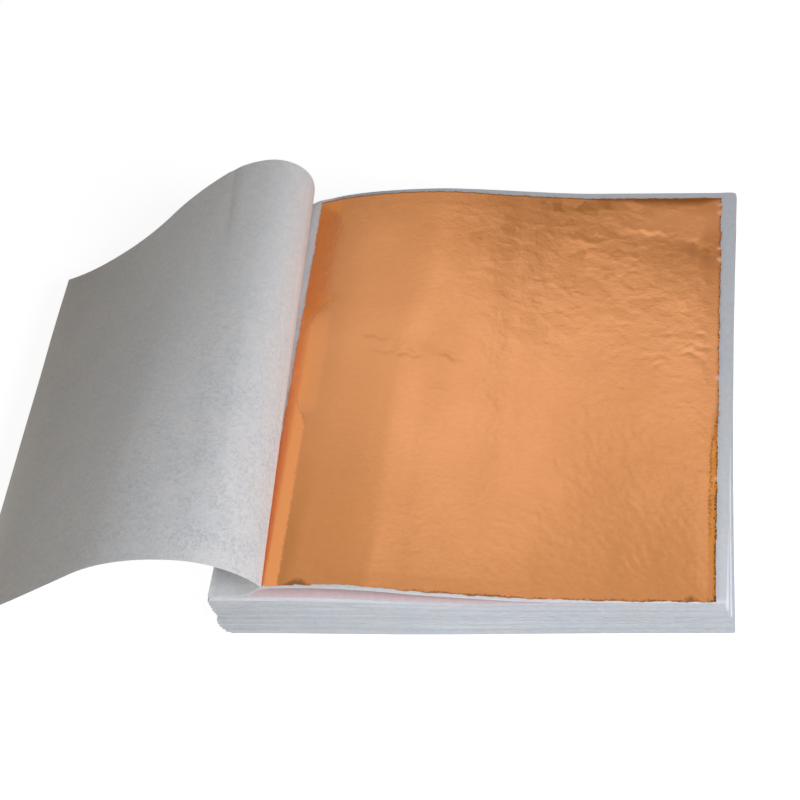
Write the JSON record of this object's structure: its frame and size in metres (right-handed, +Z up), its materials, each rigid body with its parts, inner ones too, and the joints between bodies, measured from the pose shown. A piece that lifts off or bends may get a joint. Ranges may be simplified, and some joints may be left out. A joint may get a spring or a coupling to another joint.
{
  "type": "copper leaf booklet",
  "caption": "Stack of folded white tissues, each holding a thin square of copper leaf, with the top tissue turned open in a roll to bare its leaf.",
  "frame": {"origin": "centre of the underside of the lowest tissue, where the booklet rests", "axes": "+X from the folded edges to the open fore-edge, +Y from front to back along the folds, +Z up"},
  "size_m": [0.1455, 0.0928, 0.0344],
  "materials": {
    "tissue": "matt, slightly translucent, mottled",
    "copper_leaf": "bright beaten foil, finely wrinkled"
  },
  "bodies": {
    "lower_section": {"tissue_25": "tissue", "leaf_25": "copper_leaf", "tissue_24": "tissue", "leaf_24": "copper_leaf", "tissue_23": "tissue", "leaf_23": "copper_leaf", "tissue_22": "tissue", "leaf_22": "copper_leaf", "tissue_21": "tissue", "leaf_21": "copper_leaf", "tissue_20": "tissue", "leaf_20": "copper_leaf", "tissue_19": "tissue", "leaf_19": "copper_leaf", "tissue_18": "tissue", "leaf_18": "copper_leaf", "tissue_17": "tissue", "leaf_17": "copper_leaf", "tissue_16": "tissue", "leaf_16": "copper_leaf"},
    "upper_section": {"tissue_15": "tissue", "leaf_15": "copper_leaf", "tissue_14": "tissue", "leaf_14": "copper_leaf", "tissue_13": "tissue", "leaf_13": "copper_leaf", "tissue_12": "tissue", "leaf_12": "copper_leaf", "tissue_11": "tissue", "leaf_11": "copper_leaf", "tissue_10": "tissue", "leaf_10": "copper_leaf", "tissue_09": "tissue", "leaf_09": "copper_leaf", "tissue_08": "tissue", "leaf_08": "copper_leaf", "tissue_07": "tissue", "leaf_07": "copper_leaf", "tissue_06": "tissue", "leaf_06": "copper_leaf", "tissue_05": "tissue", "leaf_05": "copper_leaf", "tissue_04": "tissue", "leaf_04": "copper_leaf", "tissue_03": "tissue", "leaf_03": "copper_leaf", "tissue_02": "tissue", "leaf_02": "copper_leaf", "tissue_01_page": "tissue"},
    "turned_half": {"tissue_01_turned_half": "tissue"},
    "top_leaf": {"leaf_01": "copper_leaf"}
  },
  "joints": [
    {"name": "section_open", "type": "hinge", "parent": "lower_section", "child": "upper_section", "pos_m": [-0.04735, 0, 0.00578], "axis": [0, -1, 0], "range_deg": [0, 10]},
    {"name": "tissue_turn", "type": "hinge", "parent": "upper_section", "child": "turned_half", "pos_m": [-0.03394, -0.0425, 0.01798], "axis": [-0.0221, 0.9929, 0.1172], "range_deg": [-6, 80]},
    {"name": "leaf_draw", "type": "slide", "parent": "upper_section", "child": "top_leaf", "axis": [0.809, 0, 0.5878], "range_m": [0, 0.06]}
  ]
}
